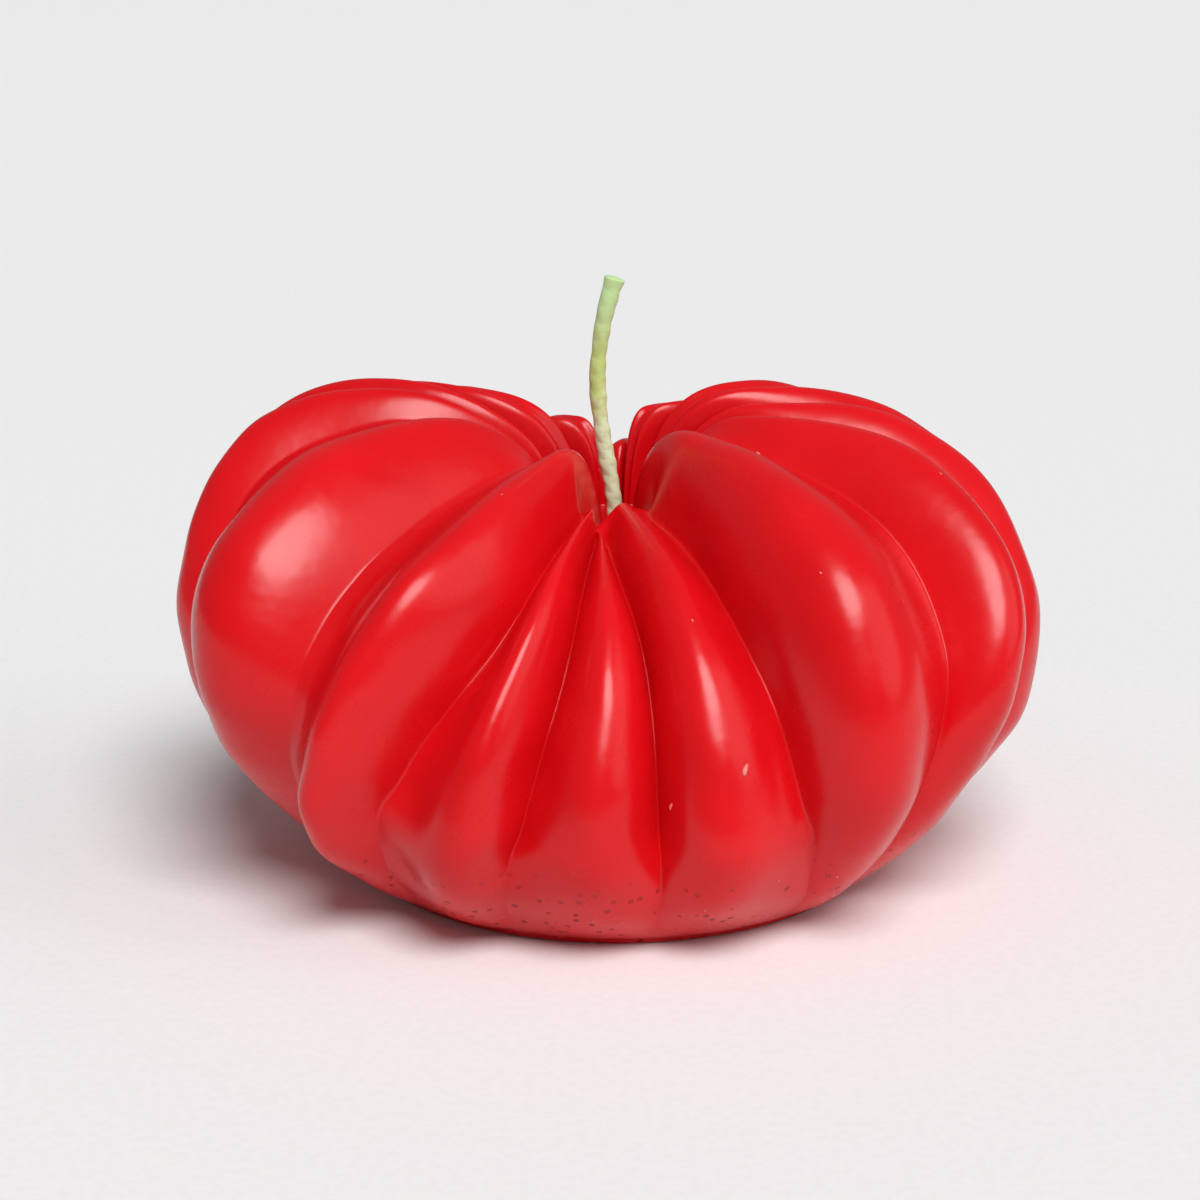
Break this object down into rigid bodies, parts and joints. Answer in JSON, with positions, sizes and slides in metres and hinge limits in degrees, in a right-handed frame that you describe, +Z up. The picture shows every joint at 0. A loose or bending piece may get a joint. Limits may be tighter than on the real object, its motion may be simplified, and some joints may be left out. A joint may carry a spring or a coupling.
{
  "type": "tomato candle",
  "caption": "Wax candle moulded as a wide ribbed tomato, with a braided wick standing in the hollow at its top.",
  "frame": {"origin": "middle of the wax body's outline, on the surface that the candle stands on", "axes": "+Z up along the wick, +X to the right across the widest lobes, -Y towards the front, where the lobes are lowest"},
  "size_m": [0.1088, 0.0894, 0.0749],
  "materials": {
    "red_wax": "satin dyed wax, slightly translucent",
    "wick_braid": "waxed cotton braid, dyed light green towards its tip"
  },
  "bodies": {
    "root": {"wax_body": "red_wax", "wick": "wick_braid"}
  },
  "joints": []
}
